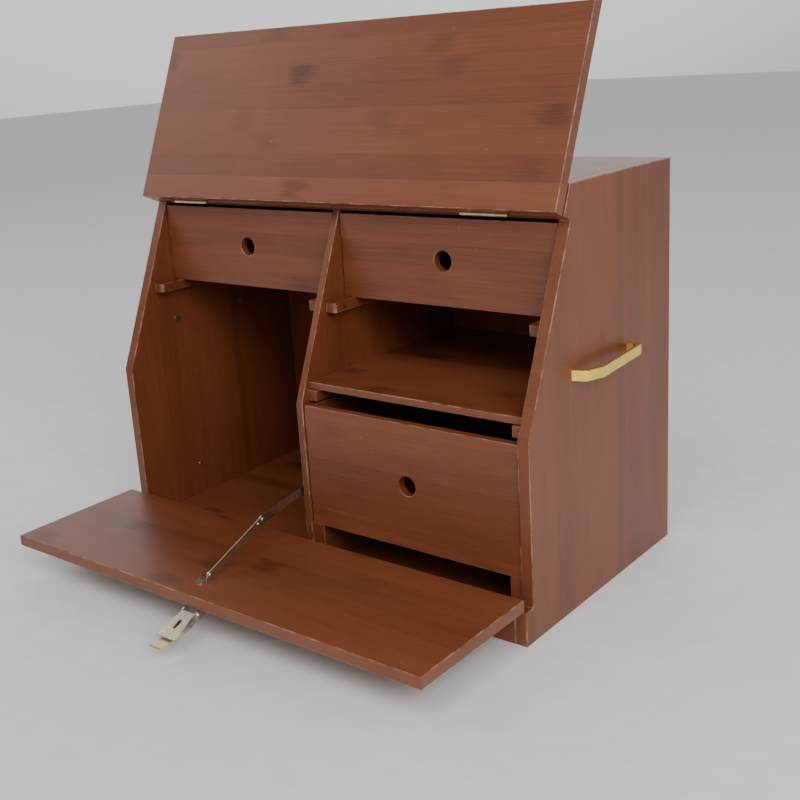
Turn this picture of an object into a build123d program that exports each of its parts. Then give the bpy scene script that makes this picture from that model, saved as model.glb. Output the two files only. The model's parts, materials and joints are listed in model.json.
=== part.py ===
"""Desk organizer: drop-front, lift-lid wooden box with three drawers.

Millimetres, +Z up, front towards -Y, origin at the centre of the base footprint.
Modelled with the lid swung fully back and the door folded down level.
"""

import math
import os

from build123d import *

os.makedirs("parts", exist_ok=True)

# ---- driving dimensions: body ----
width = 540.0
depth = 288.0
height = 404.0
board = 12.0
partition_thickness = 8.0
shelf_thickness = 7.5
back_thickness = 8.0
slope_angle = 23.4
knee_height = 191.0
strip_length = 30.0
plinth_height = 34.0
partition_setback = 1.0
partition_knee_drop = 3.7

# ---- driving dimensions: lid, door ----
panel_inset = 1.0
lid_bottom_rise = 7.3
door_top_drop = 1.0

# ---- clearances ----
closing_gap = 0.3
leaf_gap = 2.0
pivot_outset = 0.9
pin_clearance = 0.05
side_play = 0.2
slide_play = 0.05

# ---- hinges ----
hinge_length = 50.0
knuckle_radius = 2.2
knuckle_relief = 2.7
hinge_pin_radius = 1.2
pin_cap_radius = 1.9
leaf_thickness = 0.8
leaf_reach = 11.4
leaf_screw_reach = 7.6
lid_hinge_insets = (69.5, 81.5)
door_hinge_inset = 80.0

# ---- drawers ----
drawer_front = 9.0
drawer_wall = 8.0
drawer_bottom = 5.0
finger_hole_radius = 10.0
drawer_side_gap = 1.2
top_drawer_setback = 1.2
top_drawer_headroom = 3.1
top_drawer_height = 85.8
top_hole_rise = 44.3
lower_drawer_setback = 2.7
lower_drawer_z = 58.0
lower_drawer_headroom = 14.0
lower_hole_rise = 65.0
drawer_back_gap = 3.0

# ---- runners, cleats, supports ----
runner_width = 14.5
runner_height = 10.0
runner_setback = 11.0
cleat_width = 12.0
cleat_height = 11.0
cleat_setback = 10.7
shelf_setback = 7.6
shelf_rise = 16.5
support_width = 14.0
support_setback = 3.7

# ---- derived ----
front_y = -depth / 2
back_y = depth / 2
half = width / 2
inner_x = half - board
half_partition = partition_thickness / 2
inner_back_y = back_y - back_thickness
recess_depth = board + closing_gap
recess_y = front_y + recess_depth
lean = math.radians(slope_angle)
along_y = math.sin(lean)
along_z = math.cos(lean)


def on_slope(along, out):
    """Point at a distance up the sloped recess line and a distance out from it."""
    y = recess_y + along * along_y - out * along_z
    z = knee_height + along * along_z + out * along_y
    return (y, z)


def slope_y(z):
    """Where the sloped recess line is at a height."""
    return recess_y + (z - knee_height) * math.tan(lean)


top_along = (height - knee_height - recess_depth * along_y) / along_z
ledge_along = top_along - strip_length

lid_pivot = on_slope(ledge_along - leaf_gap / 2, recess_depth + pivot_outset)
door_pivot = (front_y - pivot_outset, plinth_height + leaf_gap / 2)
lid_hinge_centres = (-half + lid_hinge_insets[0], half - lid_hinge_insets[1])
door_hinge_centres = (-half + door_hinge_inset, half - door_hinge_inset)

panel_half = half - panel_inset
lid_bottom_height = knee_height + lid_bottom_rise
door_top_height = knee_height - door_top_drop

top_drawer_z = on_slope(ledge_along, 0.0)[1] - top_drawer_headroom - top_drawer_height
top_drawer_y = slope_y(top_drawer_z + top_drawer_height) + top_drawer_setback
lower_drawer_y = recess_y + lower_drawer_setback
shelf_top = knee_height + shelf_rise
shelf_front_y = slope_y(shelf_top) + shelf_setback
cleat_front_y = recess_y + cleat_setback
cleat_top = shelf_top - shelf_thickness
lower_drawer_height = cleat_top - lower_drawer_headroom - lower_drawer_z
runner_front_y = slope_y(top_drawer_z - runner_height) + runner_setback
support_front_y = recess_y + support_setback


# ---- helpers used inside the builders ----
def block(x0, x1, y0, y1, z0, z1, mode=Mode.ADD):
    with BuildSketch(Plane.XY.offset(z0)) as face:
        with Locations(((x0 + x1) / 2, (y0 + y1) / 2)):
            Rectangle(x1 - x0, y1 - y0)
    extrude(face.sketch, amount=z1 - z0, mode=mode)


def slab(x0, x1, points, mode=Mode.ADD):
    with BuildSketch(Plane.YZ.offset(x0)) as face:
        Polygon(*points, align=None)
    extrude(face.sketch, amount=x1 - x0, mode=mode)


def rod(x0, x1, centre, radius, mode=Mode.ADD):
    with BuildSketch(Plane.YZ.offset(x0)) as face:
        with Locations(centre):
            Circle(radius)
    extrude(face.sketch, amount=x1 - x0, mode=mode)


def place(item, planes, mode=Mode.ADD):
    with Locations(*planes):
        add(item, mode=mode)


def save(item, label):
    item.part.label = label
    export_step(item.part, "parts/" + label + ".step")


def thick_line(points, thickness):
    """Outline of a bent strip that follows a centre line."""
    left = []
    right = []
    count = len(points)
    for i in range(count):
        before = points[max(i - 1, 0)]
        here = points[i]
        after = points[min(i + 1, count - 1)]
        a1 = math.atan2(here[1] - before[1], here[0] - before[0])
        a2 = math.atan2(after[1] - here[1], after[0] - here[0])
        if i == 0:
            a1 = a2
        if i == count - 1:
            a2 = a1
        turn = (a1 + a2) / 2
        reach = thickness / 2 / math.cos((a2 - a1) / 2)
        left.append((here[0] - reach * math.sin(turn), here[1] + reach * math.cos(turn)))
        right.append((here[0] + reach * math.sin(turn), here[1] - reach * math.cos(turn)))
    return left + right[::-1]


def yz_plane(x, point, direction):
    """Plane at a point of the YZ section whose normal is the given YZ direction."""
    return Plane(
        origin=(x, point[0], point[1]),
        x_dir=(1, 0, 0),
        z_dir=(0, direction[0], direction[1]),
    )


# ---- fixings reused by several parts ----
screw_head_radius = 2.0
screw_shank_radius = 0.9
screw_head_height = 0.9
screw_length = 8.0

with BuildPart() as wood_screw:
    Cone(
        screw_shank_radius,
        screw_head_radius,
        screw_head_height,
        align=(Align.CENTER, Align.CENTER, Align.MAX),
    )
    with Locations((0, 0, -screw_head_height)):
        Cylinder(
            screw_shank_radius,
            screw_length,
            align=(Align.CENTER, Align.CENTER, Align.MAX),
        )

runner_screw_radius = 2.6
runner_screw_length = 16.4

with BuildPart() as runner_screw:
    Cone(
        1.5,
        runner_screw_radius,
        1.6,
        align=(Align.CENTER, Align.CENTER, Align.MAX),
    )
    with Locations((0, 0, -1.6)):
        Cylinder(
            1.5,
            runner_screw_length,
            align=(Align.CENTER, Align.CENTER, Align.MAX),
        )

bolt_radius = 2.0
bolt_reach = board + 6.0

with BuildPart() as handle_bolt:
    Cylinder(3.6, 1.6, align=(Align.CENTER, Align.CENTER, Align.MIN))
    Cylinder(bolt_radius, bolt_reach, align=(Align.CENTER, Align.CENTER, Align.MAX))

# ---- handles: bow seen from above ----
handle_height = 10.0
handle_foot_y = (-52.75, 52.75)
handle_outer = ((-57.5, 0.0), (-52.5, 13.5), (-33.0, 20.3), (54.8, 14.2), (57.5, 0.0))
handle_inner = ((48.5, 0.0), (50.3, 10.9), (-34.0, 16.7), (-46.0, 10.0), (-48.0, 0.0))
handle_outer_bends = [7.0, 16.0, 5.0]
handle_inner_bends = [4.0, 12.0, 6.0]
handle_spots = {"left": (-4.0, 235.0), "right": (0.0, 232.0)}


def handle_bolt_planes(side):
    sign = -1 if side == "left" else 1
    shift, z = handle_spots[side]
    return [
        Plane(origin=(sign * inner_x, shift + y, z), x_dir=(0, 1, 0), z_dir=(-sign, 0, 0))
        for y in handle_foot_y
    ]


def build_handle(side):
    sign = -1 if side == "left" else 1
    shift, z = handle_spots[side]
    outer = [(sign * (half + x), y + shift) for y, x in handle_outer]
    inner = [(sign * (half + x), y + shift) for y, x in handle_inner]
    with BuildPart() as handle:
        with BuildSketch(Plane.XY.offset(z - handle_height / 2)):
            with BuildLine():
                FilletPolyline(*outer, radius=handle_outer_bends)
                Line(outer[-1], inner[0])
                FilletPolyline(*inner, radius=handle_inner_bends)
                Line(inner[-1], outer[0])
            make_face()
        extrude(amount=handle_height)
        place(handle_bolt.part, handle_bolt_planes(side), Mode.SUBTRACT)
    save(handle, "handle_" + side)


# ---- hinges ----
def step_from(pivot, a_dir, b_dir, a, b):
    return (pivot[0] + a * a_dir[0] + b * b_dir[0], pivot[1] + a * a_dir[1] + b * b_dir[1])


def leaf_screw_planes(centres, pivot, a_dir, b_dir):
    spot = step_from(pivot, a_dir, b_dir, leaf_screw_reach, leaf_thickness - pivot_outset)
    planes = []
    for centre in centres:
        for offset in (-17.0, 17.0):
            planes.append(yz_plane(centre + offset, spot, b_dir))
    return planes


knuckle_third = hinge_length / 6
fixed_knuckles = (
    (-hinge_length / 2, -knuckle_third - side_play / 2),
    (knuckle_third + side_play / 2, hinge_length / 2),
)
moving_knuckles = ((-knuckle_third + side_play / 2, knuckle_third - side_play / 2),)


def build_leaves(label, centres, pivot, a_dir, b_dir, knuckles):
    low = -pivot_outset
    high = leaf_thickness - pivot_outset
    near = knuckle_radius + side_play
    tab = hinge_pin_radius + 0.6

    def corners(a0, a1):
        return [
            step_from(pivot, a_dir, b_dir, a0, low),
            step_from(pivot, a_dir, b_dir, a1, low),
            step_from(pivot, a_dir, b_dir, a1, high),
            step_from(pivot, a_dir, b_dir, a0, high),
        ]

    with BuildPart() as leaves:
        for centre in centres:
            slab(centre - hinge_length / 2, centre + hinge_length / 2, corners(near, leaf_reach))
            for x0, x1 in knuckles:
                slab(centre + x0, centre + x1, corners(tab, near))
                rod(centre + x0, centre + x1, pivot, knuckle_radius)
                rod(
                    centre + x0,
                    centre + x1,
                    pivot,
                    hinge_pin_radius + pin_clearance,
                    Mode.SUBTRACT,
                )
        place(wood_screw.part, leaf_screw_planes(centres, pivot, a_dir, b_dir), Mode.SUBTRACT)
    save(leaves, label)


def build_hinge_pins(label, centres, pivot):
    with BuildPart() as pins:
        for centre in centres:
            start = centre - hinge_length / 2
            end = centre + hinge_length / 2
            rod(start, end, pivot, hinge_pin_radius)
            rod(start - 0.6, start, pivot, pin_cap_radius)
            rod(end, end + 0.6, pivot, pin_cap_radius)
    save(pins, label)


def cut_knuckle_relief(centres, pivot):
    for centre in centres:
        reach = hinge_length / 2 + 1.0
        rod(centre - reach, centre + reach, pivot, knuckle_relief, Mode.SUBTRACT)


# each leaf: the way it runs from the pivot, then the way its board's outer face looks
lid_fixed_dirs = ((along_y, along_z), (-along_z, along_y))
lid_moving_dirs = ((along_y, along_z), (along_z, -along_y))
door_fixed_dirs = ((0.0, -1.0), (-1.0, 0.0))
door_moving_dirs = ((-1.0, 0.0), (0.0, -1.0))

lid_fixed_screws = leaf_screw_planes(lid_hinge_centres, lid_pivot, *lid_fixed_dirs)
lid_moving_screws = leaf_screw_planes(lid_hinge_centres, lid_pivot, *lid_moving_dirs)
door_fixed_screws = leaf_screw_planes(door_hinge_centres, door_pivot, *door_fixed_dirs)
door_moving_screws = leaf_screw_planes(door_hinge_centres, door_pivot, *door_moving_dirs)

# ---- folding stay, between the partition and the door ----
arm_thickness = 1.0
arm_width = 9.0
arm_play = 0.2
stay_pin_radius = 1.8
stay_plate = 1.2
stay_tab_width = 11.0
stay_ear_radius = 4.0
stay_wall_pivot = (front_y + 56.5, door_pivot[1] + 63.5)
stay_elbow = (front_y - 46.5, door_pivot[1] + 47.4)
stay_door_pivot = (front_y - 121.8, door_pivot[1] + 17.6)
lower_arm_x = -half_partition - stay_plate - arm_play
upper_arm_x = lower_arm_x - arm_thickness - arm_play
ear_x = lower_arm_x - arm_thickness - arm_play
door_face_z = door_pivot[1] + pivot_outset + board
stay_tab_x = ear_x - stay_tab_width / 2
stay_tab_y = stay_door_pivot[0] - 9.0

stay_door_screw = Plane(
    origin=(stay_tab_x, stay_tab_y, door_face_z + stay_plate),
    x_dir=(1, 0, 0),
    z_dir=(0, 0, 1),
)
stay_wall_screws = [
    Plane(
        origin=(-half_partition - stay_plate, stay_wall_pivot[0] + offset, stay_wall_pivot[1]),
        x_dir=(0, 1, 0),
        z_dir=(-1, 0, 0),
    )
    for offset in (-11.0, 11.0)
]

with BuildPart() as stay_screw:
    Cone(1.2, 3.0, stay_plate, align=(Align.CENTER, Align.CENTER, Align.MAX))
    with Locations((0, 0, -stay_plate)):
        Cylinder(1.2, 5.5, align=(Align.CENTER, Align.CENTER, Align.MAX))


def arm_outline(start, end, x0, x1):
    """Flat bar with round ends between two pivots."""
    angle = math.atan2(end[1] - start[1], end[0] - start[0])
    side_y = -math.sin(angle) * arm_width / 2
    side_z = math.cos(angle) * arm_width / 2
    slab(
        x0,
        x1,
        [
            (start[0] + side_y, start[1] + side_z),
            (end[0] + side_y, end[1] + side_z),
            (end[0] - side_y, end[1] - side_z),
            (start[0] - side_y, start[1] - side_z),
        ],
    )
    rod(x0, x1, start, arm_width / 2)
    rod(x0, x1, end, arm_width / 2)


# ---- toggle latch under the door's free edge ----
latch_sheet = 1.2
lever_width = 18.0
lever_tip_width = 25.0
lever_straight = 7.0
lever_length = 34.0
lever_plate_start = 2.5
lever_slot_along = 18.0
lever_hang = math.radians(22.6)
hook_width = 15.0
hook_pivot_along = 10.0
latch_pin_radius = 1.5
door_under_z = door_pivot[1] + pivot_outset
door_tip_y = door_pivot[0] - (door_top_height - door_pivot[1])
latch_pivot = (door_tip_y + 0.7, door_under_z - 6.7)
latch_base_y = (door_tip_y + 3.5, door_tip_y + 37.5)


def on_lever(along, out):
    """Point along the hanging lever and out from its axis towards its face."""
    y = latch_pivot[0] - along * math.cos(lever_hang) - out * math.sin(lever_hang)
    z = latch_pivot[1] - along * math.sin(lever_hang) + out * math.cos(lever_hang)
    return (y, z)


hook_pivot = on_lever(hook_pivot_along, 0.0)
latch_screws = [
    Plane(
        origin=(x, latch_base_y[0] + offset, door_under_z - latch_sheet),
        x_dir=(1, 0, 0),
        z_dir=(0, 0, -1),
    )
    for x, offset in ((-5.5, 13.0), (5.5, 13.0), (0.0, 26.0))
]

with BuildPart() as latch_screw:
    Cone(0.9, 2.1, latch_sheet, align=(Align.CENTER, Align.CENTER, Align.MAX))
    with Locations((0, 0, -latch_sheet)):
        Cylinder(0.9, 7.0, align=(Align.CENTER, Align.CENTER, Align.MAX))

strike_low = 16.5
strike_high = 36.5
strike_lip = 4.8


def on_open_lid(along, out):
    """Point on the lid as it lies swung back, measured on the closed lid."""
    y, z = on_slope(along, out)
    return (2 * lid_pivot[0] - y, 2 * lid_pivot[1] - z)


strike_screws = [
    yz_plane(x, on_open_lid(strike_high - 6.0, recess_depth + latch_sheet), (along_z, -along_y))
    for x in (-5.0, 5.0)
]


# ---- where the runners are screwed to the walls ----
runner_screw_spot = (runner_front_y + 14.0, top_drawer_z - runner_height / 2 - 1.0)
runner_sides = {
    "runner_left_outer": (-inner_x, 1),
    "runner_left_inner": (-half_partition, -1),
    "runner_right_inner": (half_partition, 1),
    "runner_right_outer": (inner_x, -1),
}
runner_screw_planes = {
    name: [
        Plane(
            origin=(wall + sign * runner_width, y, runner_screw_spot[1]),
            x_dir=(0, 1, 0),
            z_dir=(sign, 0, 0),
        )
        for y in (runner_screw_spot[0], inner_back_y - 30.0)
    ]
    for name, (wall, sign) in runner_sides.items()
}
left_wall_screws = runner_screw_planes["runner_left_outer"]
right_wall_screws = runner_screw_planes["runner_right_outer"]
wall_screws = {"left": left_wall_screws, "right": right_wall_screws}
partition_screws = (
    runner_screw_planes["runner_left_inner"] + runner_screw_planes["runner_right_inner"]
)
wall_pin = Plane(origin=(-inner_x, front_y + 98.2, 49.2), x_dir=(0, 1, 0), z_dir=(1, 0, 0))

with BuildPart() as pin_head:
    Cylinder(2.4, 1.0, align=(Align.CENTER, Align.CENTER, Align.MIN))
    fillet(pin_head.edges().sort_by(Axis.Z)[-1], 0.6)
    Cylinder(1.2, 8.0, align=(Align.CENTER, Align.CENTER, Align.MAX))


# ================= body boards =================
def side_outline(plinth, setback, knee_drop):
    """Front profile with the ledge the lid hinges against."""
    knee = (recess_y + setback, knee_height - knee_drop)
    return [
        (back_y, 0.0),
        (front_y, 0.0),
        (front_y, plinth),
        (knee[0], plinth),
        knee,
        on_slope(ledge_along, -setback),
        on_slope(ledge_along, recess_depth),
        on_slope(top_along, recess_depth),
        (back_y, height),
    ]


for side, x0 in (("left", -half), ("right", inner_x)):
    with BuildPart() as side_panel:
        slab(x0, x0 + board, side_outline(plinth_height, 0.0, 0.0))
        place(handle_bolt.part, handle_bolt_planes(side), Mode.SUBTRACT)
        place(runner_screw.part, wall_screws[side], Mode.SUBTRACT)
        if side == "left":
            place(pin_head.part, [wall_pin], Mode.SUBTRACT)
    save(side_panel, "side_panel_" + side)

with BuildPart() as base_panel:
    block(-inner_x, inner_x, front_y + board, inner_back_y, 0.0, board)
save(base_panel, "base_panel")

with BuildPart() as plinth_rail:
    block(-inner_x, inner_x, front_y, front_y + board, 0.0, plinth_height)
    cut_knuckle_relief(door_hinge_centres, door_pivot)
    place(wood_screw.part, door_fixed_screws, Mode.SUBTRACT)
save(plinth_rail, "plinth_rail")

with BuildPart() as back_panel:
    block(-inner_x, inner_x, inner_back_y, back_y, 0.0, height - board)
save(back_panel, "back_panel")

rail_back = on_slope(ledge_along, -partition_setback)
rail_outer_top = on_slope(top_along, recess_depth)
rail_top_depth = (recess_depth + partition_setback) / along_z
rail_inner_top = (rail_outer_top[0] + rail_top_depth, height)
rail_share = (height - board - rail_back[1]) / (height - rail_back[1])
top_low_y = rail_back[0] + rail_share * (rail_inner_top[0] - rail_back[0])

with BuildPart() as hinge_rail:
    slab(
        -inner_x,
        inner_x,
        [on_slope(ledge_along, recess_depth), rail_outer_top, rail_inner_top, rail_back],
    )
    cut_knuckle_relief(lid_hinge_centres, lid_pivot)
    place(wood_screw.part, lid_fixed_screws, Mode.SUBTRACT)
save(hinge_rail, "hinge_rail")

with BuildPart() as top_panel:
    slab(
        -inner_x,
        inner_x,
        [
            (top_low_y, height - board),
            rail_inner_top,
            (back_y, height),
            (back_y, height - board),
        ],
    )
save(top_panel, "top_panel")

# ---- partition: same profile, set back a touch, its top under the top panel ----
with BuildPart() as partition:
    knee = (recess_y + partition_setback, knee_height - partition_knee_drop)
    slab(
        -half_partition,
        half_partition,
        [
            (inner_back_y, board),
            (knee[0], board),
            knee,
            rail_back,
            (top_low_y, height - board),
            (inner_back_y, height - board),
        ],
    )
    place(stay_screw.part, stay_wall_screws, Mode.SUBTRACT)
    place(runner_screw.part, partition_screws, Mode.SUBTRACT)
save(partition, "partition")

with BuildPart() as shelf:
    block(half_partition, inner_x, shelf_front_y, inner_back_y, shelf_top - shelf_thickness, shelf_top)
save(shelf, "shelf")

# ================= runners, cleats and supports =================
for name, (wall, sign) in runner_sides.items():
    low_x = min(wall, wall + sign * runner_width)
    with BuildPart() as runner:
        block(
            low_x,
            low_x + runner_width,
            runner_front_y,
            inner_back_y,
            top_drawer_z - runner_height,
            top_drawer_z,
        )
        front_corners = runner.edges().filter_by(Axis.Z).sort_by(Axis.Y)[:2]
        fillet(front_corners, 3.0)
        place(runner_screw.part, runner_screw_planes[name], Mode.SUBTRACT)
    save(runner, name)

for name, x0 in (("shelf_cleat_inner", half_partition), ("shelf_cleat_outer", inner_x - cleat_width)):
    with BuildPart() as cleat:
        block(x0, x0 + cleat_width, cleat_front_y, inner_back_y, cleat_top - cleat_height, cleat_top)
    save(cleat, name)

support_spots = (("drawer_support_inner", half_partition), ("drawer_support_outer", inner_x - support_width))
for name, x0 in support_spots:
    with BuildPart() as support:
        block(
            x0,
            x0 + support_width,
            support_front_y,
            inner_back_y,
            board,
            lower_drawer_z - slide_play,
        )
    save(support, name)

for side in ("left", "right"):
    build_handle(side)

with BuildPart() as handle_bolts:
    place(handle_bolt.part, handle_bolt_planes("left") + handle_bolt_planes("right"))
save(handle_bolts, "handle_bolts")

with BuildPart() as body_screws:
    place(runner_screw.part, left_wall_screws + right_wall_screws + partition_screws)
    place(wood_screw.part, lid_fixed_screws + door_fixed_screws)
    place(stay_screw.part, stay_wall_screws)
    place(pin_head.part, [wall_pin])
save(body_screws, "body_screws")

# ================= lid =================
lid_top = ledge_along - leaf_gap
lid_low_outer = (lid_bottom_height - knee_height - recess_depth * along_y) / along_z
lid_low_inner = (lid_bottom_height - knee_height - closing_gap * along_y) / along_z

with BuildPart() as lid_panel:
    slab(
        -panel_half,
        panel_half,
        [
            on_open_lid(lid_top, recess_depth),
            on_open_lid(lid_low_outer, recess_depth),
            on_open_lid(lid_low_inner, closing_gap),
            on_open_lid(lid_top, closing_gap),
        ],
    )
    cut_knuckle_relief(lid_hinge_centres, lid_pivot)
    place(wood_screw.part, lid_moving_screws, Mode.SUBTRACT)
    place(latch_screw.part, strike_screws, Mode.SUBTRACT)
save(lid_panel, "lid_panel")

with BuildPart() as latch_strike:
    slab(
        -9.0,
        9.0,
        [
            on_open_lid(strike_low, recess_depth),
            on_open_lid(strike_high, recess_depth),
            on_open_lid(strike_high, recess_depth + latch_sheet),
            on_open_lid(strike_low + latch_sheet, recess_depth + latch_sheet),
            on_open_lid(strike_low + latch_sheet, recess_depth + strike_lip),
            on_open_lid(strike_low, recess_depth + strike_lip),
        ],
    )
    place(latch_screw.part, strike_screws, Mode.SUBTRACT)
save(latch_strike, "latch_strike")

with BuildPart() as lid_screws:
    place(wood_screw.part, lid_moving_screws)
    place(latch_screw.part, strike_screws)
save(lid_screws, "lid_screws")

# ================= door =================
door_end_y = door_pivot[0] - leaf_gap / 2

with BuildPart() as door_panel:
    block(-panel_half, panel_half, door_tip_y, door_end_y, door_under_z, door_face_z)
    cut_knuckle_relief(door_hinge_centres, door_pivot)
    place(wood_screw.part, door_moving_screws, Mode.SUBTRACT)
    place(latch_screw.part, latch_screws, Mode.SUBTRACT)
    place(stay_screw.part, [stay_door_screw], Mode.SUBTRACT)
save(door_panel, "door_panel")

with BuildPart() as door_screws:
    place(wood_screw.part, door_moving_screws)
    place(latch_screw.part, latch_screws)
    place(stay_screw.part, [stay_door_screw])
save(door_screws, "door_screws")

# ================= hinges =================
build_leaves("lid_hinge_fixed", lid_hinge_centres, lid_pivot, *lid_fixed_dirs, fixed_knuckles)
build_leaves("lid_hinge_moving", lid_hinge_centres, lid_pivot, *lid_moving_dirs, moving_knuckles)
build_leaves("door_hinge_fixed", door_hinge_centres, door_pivot, *door_fixed_dirs, fixed_knuckles)
build_leaves(
    "door_hinge_moving", door_hinge_centres, door_pivot, *door_moving_dirs, moving_knuckles
)
build_hinge_pins("lid_hinge_pins", lid_hinge_centres, lid_pivot)
build_hinge_pins("door_hinge_pins", door_hinge_centres, door_pivot)

# ================= stay =================
with BuildPart() as stay_wall_bracket:
    slab(
        -half_partition - stay_plate,
        -half_partition,
        [
            (stay_wall_pivot[0] - 16.0, stay_wall_pivot[1] - 6.0),
            (stay_wall_pivot[0] + 16.0, stay_wall_pivot[1] - 6.0),
            (stay_wall_pivot[0] + 16.0, stay_wall_pivot[1] + 6.0),
            (stay_wall_pivot[0] - 16.0, stay_wall_pivot[1] + 6.0),
        ],
    )
    rod(upper_arm_x, -half_partition - stay_plate, stay_wall_pivot, 3.6)
    rod(upper_arm_x - arm_thickness, upper_arm_x, stay_wall_pivot, stay_pin_radius)
    place(stay_screw.part, stay_wall_screws, Mode.SUBTRACT)
save(stay_wall_bracket, "stay_wall_bracket")

with BuildPart() as stay_upper_arm:
    arm_outline(stay_wall_pivot, stay_elbow, upper_arm_x - arm_thickness, upper_arm_x)
    rod(
        upper_arm_x - arm_thickness,
        upper_arm_x,
        stay_wall_pivot,
        stay_pin_radius + pin_clearance,
        Mode.SUBTRACT,
    )
    rod(upper_arm_x - arm_thickness - 0.8, upper_arm_x - arm_thickness, stay_elbow, 2.6)
save(stay_upper_arm, "stay_upper_arm")

stay_reach = math.hypot(
    stay_door_pivot[0] - stay_elbow[0], stay_door_pivot[1] - stay_elbow[1]
)
stop_share = 7.0 / stay_reach
stop_spot = (
    stay_elbow[0] + stop_share * (stay_door_pivot[0] - stay_elbow[0]),
    stay_elbow[1] + stop_share * (stay_door_pivot[1] - stay_elbow[1]),
)

with BuildPart() as stay_lower_arm:
    arm_outline(stay_elbow, stay_door_pivot, lower_arm_x - arm_thickness, lower_arm_x)
    rod(
        lower_arm_x - arm_thickness,
        lower_arm_x,
        stay_door_pivot,
        stay_pin_radius + pin_clearance,
        Mode.SUBTRACT,
    )
    rod(lower_arm_x, lower_arm_x + 1.0, stay_elbow, 2.2)
    rod(lower_arm_x, lower_arm_x + 1.0, stop_spot, 1.8)
save(stay_lower_arm, "stay_lower_arm")

with BuildPart() as stay_door_bracket:
    block(
        ear_x - stay_tab_width,
        ear_x,
        stay_tab_y,
        stay_door_pivot[0] + stay_ear_radius,
        door_face_z,
        door_face_z + stay_plate,
    )
    with BuildSketch(Plane.XY.offset(door_face_z)):
        with Locations((stay_tab_x, stay_tab_y)):
            Circle(stay_tab_width / 2)
    extrude(amount=stay_plate)
    slab(
        ear_x - stay_plate,
        ear_x,
        [
            (stay_tab_y + 3.0, door_face_z),
            (stay_door_pivot[0] + stay_ear_radius, door_face_z),
            (stay_door_pivot[0] + stay_ear_radius, stay_door_pivot[1]),
            (stay_door_pivot[0] - stay_ear_radius, stay_door_pivot[1]),
        ],
    )
    rod(ear_x - stay_plate, ear_x, stay_door_pivot, stay_ear_radius)
    rod(ear_x - stay_plate, ear_x, stay_door_pivot, stay_pin_radius, Mode.SUBTRACT)
    place(stay_screw.part, [stay_door_screw], Mode.SUBTRACT)
save(stay_door_bracket, "stay_door_bracket")

with BuildPart() as stay_door_pin:
    rod(ear_x - stay_plate, lower_arm_x, stay_door_pivot, stay_pin_radius)
    rod(ear_x - stay_plate - 0.8, ear_x - stay_plate, stay_door_pivot, 3.0)
    rod(lower_arm_x, lower_arm_x + 0.8, stay_door_pivot, 2.6)
save(stay_door_pin, "stay_door_pin")

# ================= toggle latch =================
lever_half = lever_width / 2
ear_low = lever_half + side_play
ear_high = ear_low + latch_sheet
ear_reach = lever_straight - 0.5

with BuildPart() as latch_base:
    block(
        -ear_high,
        ear_high,
        latch_base_y[0],
        latch_base_y[1],
        door_under_z - latch_sheet,
        door_under_z,
    )
    for x0 in (-ear_high, ear_low):
        slab(
            x0,
            x0 + latch_sheet,
            [
                (latch_pivot[0] + ear_reach, door_under_z - latch_sheet),
                (latch_base_y[0], door_under_z - latch_sheet),
                (latch_pivot[0] - 2.6, latch_pivot[1] + 3.0),
                (latch_pivot[0] - 4.0, latch_pivot[1]),
                (latch_pivot[0] - 2.6, latch_pivot[1] - 3.0),
                (latch_pivot[0] + 1.0, latch_pivot[1] - 4.0),
                (latch_pivot[0] + ear_reach, latch_pivot[1] - 1.0),
            ],
        )
        rod(x0, x0 + latch_sheet, latch_pivot, latch_pin_radius, Mode.SUBTRACT)
    place(latch_screw.part, latch_screws, Mode.SUBTRACT)
save(latch_base, "latch_base")

with BuildPart() as latch_pivots:
    for sign in (-1, 1):
        inner = sign * (lever_half - latch_sheet)
        outer = sign * ear_high
        cap = sign * (ear_high + 1.0)
        rod(min(inner, outer), max(inner, outer), latch_pivot, latch_pin_radius)
        rod(min(outer, cap), max(outer, cap), latch_pivot, 2.8)
save(latch_pivots, "latch_pivots")

plate_out = 3.0
lever_flare = (lever_tip_width - lever_width) / 2 / (lever_length - lever_straight)
lever_top = Plane(
    origin=(0, *on_lever(0.0, plate_out + latch_sheet)),
    x_dir=(0, -math.cos(lever_hang), -math.sin(lever_hang)),
    z_dir=(0, -math.sin(lever_hang), math.cos(lever_hang)),
)


def lever_reach(along):
    """Half the lever's width at a distance from its pivot."""
    return lever_half + max(0.0, along - lever_straight) * lever_flare


def lever_plan(start, end, wall):
    """Plan of the lever between two stations, inside walls of a thickness."""
    stations = (start, lever_straight, end)
    right = [(along, lever_reach(along) - wall) for along in stations]
    left = [(along, -x) for along, x in right]
    return right + left[::-1]


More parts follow.
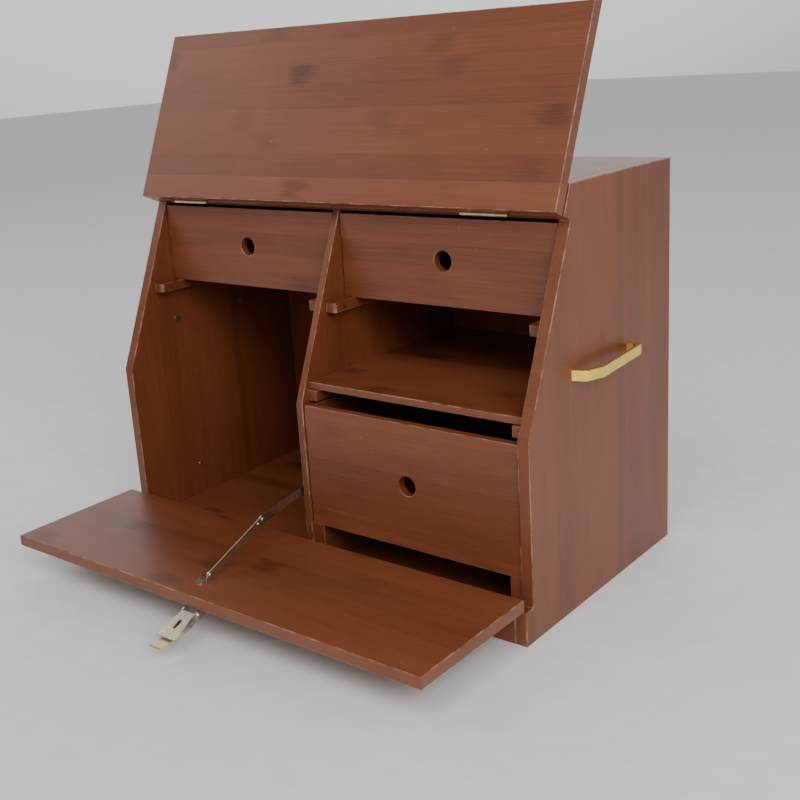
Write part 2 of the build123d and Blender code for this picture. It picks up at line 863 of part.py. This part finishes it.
with BuildPart() as latch_lever:
    with BuildSketch(lever_top):
        Polygon(*lever_plan(-3.0, lever_length, 0.0), align=None)
    extrude(amount=-latch_sheet - plate_out - 3.4)
    with BuildSketch(lever_top.offset(-latch_sheet)):
        Polygon(*lever_plan(-4.0, lever_length + 1.0, latch_sheet), align=None)
    extrude(amount=-plate_out - 4.0, mode=Mode.SUBTRACT)
    slab(
        -lever_tip_width,
        lever_tip_width,
        [
            on_lever(-3.0, plate_out + latch_sheet),
            on_lever(-3.0, -2.0),
            on_lever(-1.0, -3.4),
            on_lever(hook_pivot_along + 3.0, -3.4),
            on_lever(lever_length - 2.0, 0.6),
            on_lever(lever_length, plate_out + latch_sheet),
        ],
        Mode.INTERSECT,
    )
    slab(
        -lever_half + latch_sheet,
        lever_half - latch_sheet,
        [
            on_lever(-4.0, plate_out - 1.0),
            on_lever(lever_plate_start, plate_out - 1.0),
            on_lever(lever_plate_start, plate_out + latch_sheet + 1.0),
            on_lever(-4.0, plate_out + latch_sheet + 1.0),
        ],
        Mode.SUBTRACT,
    )
    rod(
        -lever_half,
        lever_half,
        latch_pivot,
        latch_pin_radius + pin_clearance,
        Mode.SUBTRACT,
    )
    rod(-lever_tip_width, lever_tip_width, hook_pivot, latch_pin_radius, Mode.SUBTRACT)
    tip = on_lever(lever_length, plate_out + latch_sheet / 2)
    rod(-lever_tip_width / 2, lever_tip_width / 2, tip, 1.5)
    with BuildSketch(lever_top) as slot:
        with Locations((lever_slot_along, 0.0)):
            SlotOverall(11.8, 3.8)
    extrude(slot.sketch, amount=-latch_sheet - 0.5, mode=Mode.SUBTRACT)
save(latch_lever, "latch_lever")

hook_pin_half = lever_reach(hook_pivot_along - latch_pin_radius)
with BuildPart() as latch_hook_pin:
    rod(-hook_pin_half, hook_pin_half, hook_pivot, latch_pin_radius)
save(latch_hook_pin, "latch_hook_pin")

hook_half = hook_width / 2
hook_line = [(12.0, 0.2), (34.0, 0.7), (37.5, 1.6), (48.0, 4.2), (49.1, 6.0)]
hook_eye = latch_pin_radius + pin_clearance

with BuildPart() as latch_hook:
    outline = thick_line([on_lever(a, b) for a, b in hook_line], latch_sheet)
    slab(-hook_half, hook_half, outline)
    rod(-hook_half, hook_half, hook_pivot, hook_eye + latch_sheet)
    rod(-hook_half, hook_half, hook_pivot, hook_eye, Mode.SUBTRACT)
save(latch_hook, "latch_hook")


# ================= drawers =================
def build_drawer(label, x0, x1, front, z0, tall, hole_rise):
    rear = inner_back_y - drawer_back_gap
    z1 = z0 + tall
    with BuildPart() as face:
        block(x0, x1, front, front + drawer_front, z0, z1)
        with BuildSketch(Plane.XZ.offset(-front)) as opening:
            with Locations(((x0 + x1) / 2, z0 + hole_rise)):
                Circle(finger_hole_radius)
        extrude(opening.sketch, amount=-drawer_front, mode=Mode.SUBTRACT)
        rim = face.edges().filter_by(GeomType.CIRCLE).sort_by(Axis.Y)[0]
        fillet(rim, 0.8)
    save(face, label + "_front")
    with BuildPart() as wall_left:
        block(x0, x0 + drawer_wall, front + drawer_front, rear, z0, z1)
    save(wall_left, label + "_side_left")
    with BuildPart() as wall_right:
        block(x1 - drawer_wall, x1, front + drawer_front, rear, z0, z1)
    save(wall_right, label + "_side_right")
    with BuildPart() as wall_back:
        block(x0 + drawer_wall, x1 - drawer_wall, rear - drawer_wall, rear, z0, z1)
    save(wall_back, label + "_back")
    with BuildPart() as floor:
        block(
            x0 + drawer_wall,
            x1 - drawer_wall,
            front + drawer_front,
            rear - drawer_wall,
            z0,
            z0 + drawer_bottom,
        )
    save(floor, label + "_bottom")


near_x = half_partition + drawer_side_gap
far_x = inner_x - drawer_side_gap
top_floor_z = top_drawer_z + slide_play
build_drawer(
    "drawer_left", -far_x, -near_x, top_drawer_y, top_floor_z, top_drawer_height, top_hole_rise
)
build_drawer(
    "drawer_right", near_x, far_x, top_drawer_y, top_floor_z, top_drawer_height, top_hole_rise
)
build_drawer(
    "drawer_lower",
    near_x,
    far_x,
    lower_drawer_y,
    lower_drawer_z,
    lower_drawer_height,
    lower_hole_rise,
)
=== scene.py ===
"""Desk organizer in stained laminated bamboo, with brass and nickel fittings."""

import json
import math

import bpy
from mathutils import Matrix, Vector


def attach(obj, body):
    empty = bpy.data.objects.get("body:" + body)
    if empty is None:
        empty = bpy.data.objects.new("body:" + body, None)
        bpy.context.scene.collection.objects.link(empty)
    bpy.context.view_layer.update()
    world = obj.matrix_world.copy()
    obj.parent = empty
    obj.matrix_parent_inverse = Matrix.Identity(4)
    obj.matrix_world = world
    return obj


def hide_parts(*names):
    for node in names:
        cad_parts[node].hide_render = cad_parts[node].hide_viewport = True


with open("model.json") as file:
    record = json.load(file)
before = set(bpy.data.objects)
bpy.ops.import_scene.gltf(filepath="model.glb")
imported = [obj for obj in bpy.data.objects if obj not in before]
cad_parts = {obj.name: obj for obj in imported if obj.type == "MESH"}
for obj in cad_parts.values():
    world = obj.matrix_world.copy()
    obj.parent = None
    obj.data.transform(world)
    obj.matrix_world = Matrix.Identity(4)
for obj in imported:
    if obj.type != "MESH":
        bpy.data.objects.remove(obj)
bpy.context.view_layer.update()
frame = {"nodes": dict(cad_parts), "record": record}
nodes = frame["nodes"]

# ---- looks, in metres and linear colour ----
STRIP_WIDTH = 0.021
STAIN_DARK = (0.072, 0.0165, 0.0052, 1.0)
STAIN_MID = (0.166, 0.0445, 0.0158, 1.0)
STAIN_LIGHT = (0.245, 0.076, 0.029, 1.0)
BARE_EDGE = (0.36, 0.2, 0.13, 1.0)
BOARD_EASE = 0.0009
STICK_EASE = 0.0006
HANDLE_EASE = 0.0005
CANE_NODE_SPACING = 0.19
CANE_NODE_SPOT = 0.58
FLAT_FACE_AREA = 0.00001
FLAT_FACE_MATCH = 0.9985
# soft patches of sky: heading in degrees from the front towards the right, then strength
SKY_PATCHES = ((-135.0, 1.1), (-45.0, 0.15), (0.0, 0.68), (45.0, 0.27), (135.0, 0.82), (180.0, 0.3))
SKY_PATCH_RISE = 25.0
SKY_PATCH_SPREAD = (10.0, 50.0)
# softboxes: name, heading, rise in degrees, then watts
SOFTBOXES = (("key", 60.0, 30.0, 49.0), ("front_fill", 20.0, 50.0, 24.0), ("left_rim", -70.0, 32.0, 13.5))
SOFTBOX_REACH = 3.0
SOFTBOX_SIDE = 1.5
SUBJECT = Vector((0.0, -0.1, 0.2))
LID_LEAN = math.radians(23.4)


# ================= shader building blocks =================
def start_group(name, inputs, outputs):
    group = bpy.data.node_groups.new(name, "ShaderNodeTree")
    for label, kind, default in inputs:
        socket = group.interface.new_socket(name=label, in_out="INPUT", socket_type=kind)
        if default is not None:
            socket.default_value = default
    for label, kind in outputs:
        group.interface.new_socket(name=label, in_out="OUTPUT", socket_type=kind)
    entry = group.nodes.new("NodeGroupInput")
    leave = group.nodes.new("NodeGroupOutput")
    return group, entry, leave


def plug(tree, socket, value):
    """Feeds a socket from another socket or sets it."""
    if isinstance(value, bpy.types.NodeSocket):
        tree.links.new(value, socket)
    else:
        socket.default_value = value


def maths(tree, operation, *values, clamp=False):
    node = tree.nodes.new("ShaderNodeMath")
    node.operation = operation
    node.use_clamp = clamp
    for socket, value in zip(node.inputs, values):
        plug(tree, socket, value)
    return node.outputs[0]


def stretched(tree, vector, scale, offset=(0.0, 0.0, 0.0)):
    node = tree.nodes.new("ShaderNodeMapping")
    plug(tree, node.inputs["Vector"], vector)
    node.inputs["Scale"].default_value = scale
    node.inputs["Location"].default_value = offset
    return node.outputs["Vector"]


def noise(tree, vector, scale, detail=2.0, roughness=0.5, distortion=0.0):
    node = tree.nodes.new("ShaderNodeTexNoise")
    plug(tree, node.inputs["Vector"], vector)
    node.inputs["Scale"].default_value = scale
    node.inputs["Detail"].default_value = detail
    node.inputs["Roughness"].default_value = roughness
    node.inputs["Distortion"].default_value = distortion
    return node.outputs["Fac"]


def remap(tree, value, low, high, to_low=0.0, to_high=1.0):
    node = tree.nodes.new("ShaderNodeMapRange")
    node.interpolation_type = "SMOOTHSTEP"
    plug(tree, node.inputs["Value"], value)
    node.inputs["From Min"].default_value = low
    node.inputs["From Max"].default_value = high
    node.inputs["To Min"].default_value = to_low
    node.inputs["To Max"].default_value = to_high
    return node.outputs["Result"]


def blend_colours(tree, share, first, second, mode="MIX"):
    node = tree.nodes.new("ShaderNodeMix")
    node.data_type = "RGBA"
    node.blend_type = mode
    plug(tree, node.inputs["Factor"], share)
    plug(tree, node.inputs[6], first)
    plug(tree, node.inputs[7], second)
    return node.outputs[2]


def swing(tree, value, depth):
    """A value around one half, turned into a lift or drop of up to half the depth."""
    return maths(tree, "MULTIPLY", maths(tree, "SUBTRACT", value, 0.5), depth)


def chance(tree, value):
    node = tree.nodes.new("ShaderNodeTexWhiteNoise")
    node.noise_dimensions = "1D"
    plug(tree, node.inputs["W"], value)
    return node.outputs["Value"]


def build_bamboo_figure():
    """Laminated strips: X runs along the grain, Y across the strips, Z through the board."""
    group, entry, leave = start_group(
        "bamboo figure",
        [
            ("Vector", "NodeSocketVector", None),
            ("Strip", "NodeSocketFloat", STRIP_WIDTH),
            ("Shift", "NodeSocketFloat", 0.0),
        ],
        [
            ("Tone", "NodeSocketFloat"),
            ("Fibre", "NodeSocketFloat"),
            ("Seam", "NodeSocketFloat"),
            ("Knuckle", "NodeSocketFloat"),
            ("Cloud", "NodeSocketFloat"),
        ],
    )
    vector = entry.outputs["Vector"]
    split = group.nodes.new("ShaderNodeSeparateXYZ")
    group.links.new(vector, split.inputs[0])
    along, across = split.outputs["X"], split.outputs["Y"]
    strips_in = maths(group, "DIVIDE", across, entry.outputs["Strip"])
    place = maths(group, "ADD", strips_in, entry.outputs["Shift"])
    index = maths(group, "FLOOR", place)
    within = maths(group, "FRACT", place)
    group.links.new(chance(group, maths(group, "ADD", index, 0.37)), leave.inputs["Tone"])
    # hairline between strips
    rest_of_strip = maths(group, "SUBTRACT", 1.0, within)
    from_edge = maths(group, "MINIMUM", within, rest_of_strip)
    group.links.new(remap(group, from_edge, 0.0, 0.035, 1.0, 0.0), leave.inputs["Seam"])
    # the cane's nodes: a short dark smudge now and then along each strip
    phase = maths(group, "MULTIPLY", chance(group, maths(group, "ADD", index, 17.3)), 5.0)
    run = maths(group, "ADD", maths(group, "DIVIDE", along, CANE_NODE_SPACING), phase)
    cell = maths(group, "FLOOR", run)
    uneven = noise(group, stretched(group, vector, (30.0, 160.0, 160.0)), 1.0, 2.0)
    ripple = maths(group, "MULTIPLY", uneven, 0.16)
    spot = maths(group, "ADD", maths(group, "FRACT", run), ripple)
    offcentre = maths(group, "ABSOLUTE", maths(group, "SUBTRACT", spot, CANE_NODE_SPOT))
    band = remap(group, offcentre, 0.015, 0.13, 1.0, 0.0)
    cell_seed = maths(group, "MULTIPLY", cell, 7.13)
    strip_seed = maths(group, "MULTIPLY", index, 3.71)
    pick = chance(group, maths(group, "ADD", cell_seed, strip_seed))
    strength = remap(group, pick, 0.45, 1.0)
    body = remap(group, from_edge, 0.0, 0.16)
    smudge = maths(group, "MULTIPLY", maths(group, "MULTIPLY", band, strength), body)
    group.links.new(smudge, leave.inputs["Knuckle"])
    long_fibre = noise(group, stretched(group, vector, (9.0, 620.0, 620.0)), 1.0, 3.0, 0.6)
    short_fibre = noise(group, stretched(group, vector, (70.0, 1900.0, 1900.0)), 1.0, 2.0, 0.6)
    long_share = maths(group, "MULTIPLY", long_fibre, 0.65)
    short_share = maths(group, "MULTIPLY", short_fibre, 0.35)
    fibre = maths(group, "ADD", long_share, short_share)
    group.links.new(fibre, leave.inputs["Fibre"])
    cloud = noise(group, stretched(group, vector, (5.0, 12.0, 12.0)), 1.0, 3.0, 0.55, 0.6)
    group.links.new(cloud, leave.inputs["Cloud"])
    return group


def build_handling_marks():
    """Sparse pale nicks and fine scratches in the lacquer."""
    group, entry, leave = start_group(
        "handling marks",
        [("Vector", "NodeSocketVector", None)],
        [("Nicks", "NodeSocketFloat"), ("Scratches", "NodeSocketFloat")],
    )
    vector = entry.outputs["Vector"]
    fine = noise(group, vector, 260.0, 1.0)
    patch = noise(group, vector, 9.0, 1.0)
    nicks = maths(group, "MULTIPLY", remap(group, fine, 0.735, 0.78), remap(group, patch, 0.55, 0.66))
    group.links.new(nicks, leave.inputs["Nicks"])
    warped = stretched(group, vector, (14.0, 900.0, 260.0), (0.3, 0.1, 0.7))
    line = noise(group, warped, 1.0, 1.0, 0.4, 0.2)
    group.links.new(remap(group, line, 0.68, 0.76), leave.inputs["Scratches"])
    return group


def build_brushing():
    """Fine drawn lines and cloudy handling on metal."""
    group, entry, leave = start_group(
        "brushing",
        [("Vector", "NodeSocketVector", None)],
        [("Lines", "NodeSocketFloat"), ("Haze", "NodeSocketFloat")],
    )
    vector = entry.outputs["Vector"]
    lines = noise(group, stretched(group, vector, (250.0, 2600.0, 2600.0)), 1.0, 3.0, 0.6)
    haze = noise(group, vector, 90.0, 3.0, 0.6)
    group.links.new(lines, leave.inputs["Lines"])
    group.links.new(haze, leave.inputs["Haze"])
    return group


BAMBOO = build_bamboo_figure()
MARKS = build_handling_marks()
BRUSHING = build_brushing()


def use_group(tree, group, **values):
    node = tree.nodes.new("ShaderNodeGroup")
    node.node_tree = group
    for label, value in values.items():
        plug(tree, node.inputs[label], value)
    return node


def start_material(name):
    material = bpy.data.materials.new(name)
    material.use_nodes = True
    tree = material.node_tree
    shader = tree.nodes["Principled BSDF"]
    place = tree.nodes.new("ShaderNodeTexCoord").outputs["Object"]
    return material, tree, shader, place


# a turn, in radians, that brings the grain on to X and the strip width on to Y
GRAIN_TURNS = {
    "along_x_flat": (0.0, 0.0, 0.0),
    "along_x_upright": (-math.pi / 2, 0.0, 0.0),
    "along_x_leaning": (-(math.pi / 2 - LID_LEAN), 0.0, 0.0),
    "along_y": (0.0, 0.0, -math.pi / 2),
    "upright": (0.0, math.pi / 2, 0.0),
}


def make_bamboo(name, grain, shift, lift=0.0, strip=STRIP_WIDTH, contrast=1.0, grain_depth=0.75, knots=0.36):
    material, tree, shader, place = start_material(name)
    turn = tree.nodes.new("ShaderNodeMapping")
    turn.vector_type = "POINT"
    turn.inputs["Rotation"].default_value = GRAIN_TURNS[grain]
    tree.links.new(place, turn.inputs["Vector"])
    vector = turn.outputs["Vector"]
    figure = use_group(tree, BAMBOO, Vector=vector, Strip=strip, Shift=shift)
    marks = use_group(tree, MARKS, Vector=vector)
    tone = swing(tree, figure.outputs["Tone"], 0.34 * contrast)
    fibre = swing(tree, figure.outputs["Fibre"], grain_depth)
    cloud = swing(tree, figure.outputs["Cloud"], 0.55)
    value = maths(tree, "ADD", maths(tree, "ADD", tone, fibre), maths(tree, "ADD", cloud, 0.5 + lift))
    smudges = maths(tree, "MULTIPLY", figure.outputs["Knuckle"], knots)
    seams = maths(tree, "MULTIPLY", figure.outputs["Seam"], 0.12)
    value = maths(tree, "SUBTRACT", value, smudges)
    value = maths(tree, "SUBTRACT", value, seams, clamp=True)
    ramp = tree.nodes.new("ShaderNodeValToRGB")
    ramp.color_ramp.elements[0].color = STAIN_DARK
    ramp.color_ramp.elements[1].color = STAIN_LIGHT
    middle = ramp.color_ramp.elements.new(0.5)
    middle.color = STAIN_MID
    tree.links.new(value, ramp.inputs["Fac"])
    edge = tree.nodes.new("ShaderNodeAttribute")
    edge.attribute_name = "eased_edge"
    patches = noise(tree, stretched(tree, place, (60.0, 60.0, 60.0)), 1.0, 4.0, 0.65)
    rub = remap(tree, patches, 0.40, 0.62)
    worn = maths(tree, "MULTIPLY", edge.outputs["Fac"], maths(tree, "MULTIPLY", rub, 0.75))
    colour = blend_colours(tree, worn, ramp.outputs["Color"], BARE_EDGE)
    bare = maths(tree, "MULTIPLY", marks.outputs["Nicks"], 0.4)
    colour = blend_colours(tree, bare, colour, BARE_EDGE)
    tree.links.new(colour, shader.inputs["Base Color"])
    gloss = maths(tree, "ADD", maths(tree, "MULTIPLY", figure.outputs["Fibre"], 0.14), 0.30)
    gloss = maths(tree, "ADD", gloss, maths(tree, "MULTIPLY", marks.outputs["Scratches"], 0.12))
    tree.links.new(gloss, shader.inputs["Roughness"])
    shader.inputs["Specular IOR Level"].default_value = 0.5
    bump = tree.nodes.new("ShaderNodeBump")
    bump.inputs["Strength"].default_value = 0.35
    bump.inputs["Distance"].default_value = 0.00025
    sunk_seams = maths(tree, "MULTIPLY", figure.outputs["Seam"], 0.25)
    height = maths(tree, "SUBTRACT", figure.outputs["Fibre"], sunk_seams)
    tree.links.new(height, bump.inputs["Height"])
    tree.links.new(bump.outputs["Normal"], shader.inputs["Normal"])
    return material


def make_metal(name, colour, shade, rough, haze_amount):
    material, tree, shader, place = start_material(name)
    brushed = use_group(tree, BRUSHING, Vector=place)
    tint = remap(tree, brushed.outputs["Haze"], 0.35, 0.7)
    tree.links.new(blend_colours(tree, tint, colour, shade), shader.inputs["Base Color"])
    shader.inputs["Metallic"].default_value = 1.0
    spread = swing(tree, brushed.outputs["Haze"], haze_amount)
    lines = swing(tree, brushed.outputs["Lines"], haze_amount)
    gloss = maths(tree, "ADD", maths(tree, "ADD", spread, lines), rough, clamp=True)
    tree.links.new(gloss, shader.inputs["Roughness"])
    bump = tree.nodes.new("ShaderNodeBump")
    bump.inputs["Strength"].default_value = 0.12
    bump.inputs["Distance"].default_value = 0.00005
    tree.links.new(brushed.outputs["Lines"], bump.inputs["Height"])
    tree.links.new(bump.outputs["Normal"], shader.inputs["Normal"])
    return material


MATERIALS = {
    "side": make_bamboo(
        "bamboo side boards", "upright", 0.35, strip=0.0115, contrast=0.6, knots=0.12
    ),
    "back": make_bamboo("bamboo back board", "upright", 4.1, lift=-0.04),
    "top": make_bamboo("bamboo flat boards", "along_x_flat", 2.6),
    "rail": make_bamboo("bamboo rails", "along_y", 6.2, lift=-0.05, strip=0.05),
    "upright_rail": make_bamboo("bamboo front rails", "along_x_upright", 1.3),
    "lid": make_bamboo("bamboo lid", "along_x_leaning", 0.6, lift=0.02, strip=0.024),
    "door": make_bamboo("bamboo door", "along_x_flat", 3.45, strip=0.024),
    "drawer_face": make_bamboo(
        "bamboo drawer fronts", "along_x_upright", 5.7, grain_depth=1.15, knots=0.16
    ),
    "drawer_box": make_bamboo("bamboo drawer boxes", "along_y", 8.8, lift=0.02, strip=0.03),
    "gold": make_metal(
        "polished gold handle", (1.0, 0.73, 0.15, 1.0), (0.95, 0.64, 0.1, 1.0), 0.07, 0.05
    ),
    "brass": make_metal(
        "pale brass hinge", (0.76, 0.62, 0.36, 1.0), (0.6, 0.46, 0.25, 1.0), 0.32, 0.25
    ),
    "nickel": make_metal(
        "plated nickel latch", (0.8, 0.73, 0.6, 1.0), (0.66, 0.58, 0.46, 1.0), 0.17, 0.16
    ),
    "hook": make_metal(
        "yellow passivated hook", (0.8, 0.68, 0.36, 1.0), (0.7, 0.62, 0.42, 1.0), 0.3, 0.2
    ),
    "zinc": make_metal("zinc stay", (0.68, 0.61, 0.5, 1.0), (0.52, 0.46, 0.37, 1.0), 0.3, 0.25),
    "screw": make_metal("screw heads", (0.55, 0.5, 0.44, 1.0), (0.42, 0.37, 0.3, 1.0), 0.4, 0.2),
}

# ================= pieces =================
body_of_node = {
    node: body for body, members in frame["record"]["behaviour"]["bodies"].items() for node in members
}


def pick_only(piece):
    bpy.ops.object.select_all(action="DESELECT")
    piece.select_set(True)
    bpy.context.view_layer.objects.active = piece


def ease_edges(node, material, ease, shortest, steps=3, sharp=math.radians(32)):
    """A board or fitting with its long arrises eased, standing for the CAD node."""
    mesh = nodes[node].data.copy()
    piece = bpy.data.objects.new("eased_" + node, mesh)
    bpy.context.scene.collection.objects.link(piece)
    pick_only(piece)
    bpy.ops.object.mode_set(mode="EDIT")
    bpy.ops.mesh.select_all(action="SELECT")
    bpy.ops.mesh.remove_doubles(threshold=0.000002)
    bpy.ops.mesh.dissolve_limited(angle_limit=math.radians(0.5))
    bpy.ops.mesh.select_mode(type="EDGE")
    bpy.ops.mesh.select_all(action="DESELECT")
    bpy.ops.mesh.edges_select_sharp(sharpness=sharp)
    bpy.ops.object.mode_set(mode="OBJECT")
    flats = [polygon.normal.copy() for polygon in mesh.polygons if polygon.area > FLAT_FACE_AREA]
    corners = mesh.vertices
    for edge in mesh.edges:
        if edge.select:
            run = (corners[edge.vertices[0]].co - corners[edge.vertices[1]].co).length
            edge.select = run > shortest
    for polygon in mesh.polygons:
        polygon.select = False
    bpy.ops.object.mode_set(mode="EDIT")
    bpy.ops.mesh.bevel(offset=ease, segments=steps, affect="EDGES", clamp_overlap=False)
    bpy.ops.mesh.select_mode(type="FACE")
    bpy.ops.object.mode_set(mode="OBJECT")
    marked = mesh.attributes.new("eased_edge", "FLOAT", "CORNER")
    values = [0.0] * len(mesh.loops)
    for polygon in mesh.polygons:
        if all(polygon.normal.dot(flat) < FLAT_FACE_MATCH for flat in flats):
            for corner in polygon.loop_indices:
                values[corner] = 1.0
    marked.data.foreach_set("value", values)
    bpy.ops.object.shade_smooth_by_angle(angle=math.radians(35))
    weigh = piece.modifiers.new("even shading", "WEIGHTED_NORMAL")
    weigh.keep_sharp = True
    bpy.ops.object.modifier_apply(modifier=weigh.name)
    mesh.materials.clear()
    mesh.materials.append(material)
    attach(piece, body_of_node[node])
    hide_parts(node)
    return piece


def finish_node(node, material):
    """Keeps the CAD node's own shape and gives it its finish."""
    item = nodes[node]
    item.data.materials.clear()
    item.data.materials.append(material)


BOARDS = {
    "side_panel_left": "side",
    "side_panel_right": "side",
    "partition": "side",
    "back_panel": "back",
    "base_panel": "top",
    "top_panel": "top",
    "shelf": "top",
    "hinge_rail": "upright_rail",
    "plinth_rail": "upright_rail",
    "lid_panel": "lid",
    "door_panel": "door",
}
for node, finish in BOARDS.items():
    ease_edges(node, MATERIALS[finish], BOARD_EASE, 0.012)

for node in nodes:
    if node.startswith(("runner_", "shelf_cleat", "drawer_support")):
        ease_edges(node, MATERIALS["rail"], STICK_EASE, 0.006)
    elif node.startswith("drawer_") and node.endswith("_front"):
        ease_edges(node, MATERIALS["drawer_face"], BOARD_EASE, 0.012)
    elif node.startswith("drawer_") and not node.startswith("drawer_support"):
        ease_edges(node, MATERIALS["drawer_box"], STICK_EASE, 0.012)

for node in ("handle_left", "handle_right"):
    ease_edges(node, MATERIALS["gold"], HANDLE_EASE, 0.0)

FITTINGS = {
    "lid_hinge_fixed": "brass",
    "lid_hinge_moving": "brass",
    "lid_hinge_pins": "brass",
    "door_hinge_fixed": "brass",
    "door_hinge_moving": "brass",
    "door_hinge_pins": "brass",
    "latch_base": "nickel",
    "latch_pivots": "nickel",
    "latch_lever": "nickel",
    "latch_hook_pin": "nickel",
    "latch_strike": "nickel",
    "latch_hook": "hook",
    "stay_wall_bracket": "zinc",
    "stay_upper_arm": "zinc",
    "stay_lower_arm": "zinc",
    "stay_door_bracket": "zinc",
    "stay_door_pin": "zinc",
    "handle_bolts": "screw",
    "body_screws": "screw",
    "lid_screws": "screw",
    "door_screws": "screw",
}
for node, finish in FITTINGS.items():
    finish_node(node, MATERIALS[finish])

# ================= floor, light and camera =================
floor_material, tree, shader, place = start_material("pale floor")
speckle = noise(tree, place, 40.0, 3.0)
share = remap(tree, speckle, 0.3, 0.7)
tone = blend_colours(tree, share, (0.86, 0.86, 0.86, 1.0), (0.9, 0.9, 0.9, 1.0))
tree.links.new(tone, shader.inputs["Base Color"])
shader.inputs["Roughness"].default_value = 0.7
bpy.ops.object.select_all(action="DESELECT")
bpy.ops.mesh.primitive_plane_add(size=24.0, location=(0.0, 0.0, 0.0))
floor = bpy.context.object
floor.name = "studio_floor"
floor.data.materials.append(floor_material)


def compass(heading, rise, reach=1.0):
    """Point at a heading from the front towards the right and a rise above the floor."""
    turn = math.radians(heading)
    lift = math.radians(rise)
    level_reach = reach * math.cos(lift)
    return Vector((math.sin(turn) * level_reach, -math.cos(turn) * level_reach, math.sin(lift) * reach))


world = bpy.data.worlds.new("studio")
bpy.context.scene.world = world
world.use_nodes = True
sky = world.node_tree
outlook = sky.nodes.new("ShaderNodeTexCoord").outputs["Generated"]
inner_edge, outer_edge = (math.cos(math.radians(angle)) for angle in SKY_PATCH_SPREAD)
glow = 0.0
for heading, strength in SKY_PATCHES:
    towards = sky.nodes.new("ShaderNodeVectorMath")
    towards.operation = "DOT_PRODUCT"
    sky.links.new(outlook, towards.inputs[0])
    towards.inputs[1].default_value = compass(heading, SKY_PATCH_RISE)
    patch = remap(sky, towards.outputs["Value"], outer_edge, inner_edge, 0.0, strength)
    glow = maths(sky, "ADD", patch, glow)
sky.links.new(glow, sky.nodes["Background"].inputs["Strength"])
sky.nodes["Background"].inputs["Color"].default_value = (1.0, 1.0, 1.0, 1.0)


def add_softbox(name, place, power):
    """A square softbox that faces the object."""
    lamp = bpy.data.lights.new(name, "AREA")
    lamp.shape = "RECTANGLE"
    lamp.size = SOFTBOX_SIDE
    lamp.size_y = SOFTBOX_SIDE
    lamp.energy = power
    holder = bpy.data.objects.new(name, lamp)
    bpy.context.scene.collection.objects.link(holder)
    holder.location = place
    holder.rotation_euler = (SUBJECT - place).to_track_quat("-Z", "Y").to_euler()


for name, heading, rise, power in SOFTBOXES:
    add_softbox(name, SUBJECT + compass(heading, rise, SOFTBOX_REACH), power)

eye = Vector((0.76874, -0.92962, 0.52483))
azimuth = math.radians(40.07)
elevation = math.radians(16.13)
tilt = math.radians(-3.9)
ahead = Vector(
    (
        -math.sin(azimuth) * math.cos(elevation),
        math.cos(azimuth) * math.cos(elevation),
        -math.sin(elevation),
    )
)
level = ahead.cross(Vector((0.0, 0.0, 1.0))).normalized()
rise = level.cross(ahead)
right = math.cos(tilt) * level + math.sin(tilt) * rise
up = -math.sin(tilt) * level + math.cos(tilt) * rise
lens = bpy.data.cameras.new("camera")
lens.sensor_width = 36.0
lens.lens = 51.65
lens.shift_x = 0.0362
lens.shift_y = -0.0223
lens.clip_end = 50.0
camera = bpy.data.objects.new("camera", lens)
bpy.context.scene.collection.objects.link(camera)
facing = Matrix((right, up, -ahead)).transposed().to_4x4()
facing.translation = eye
camera.matrix_world = facing
bpy.context.scene.camera = camera
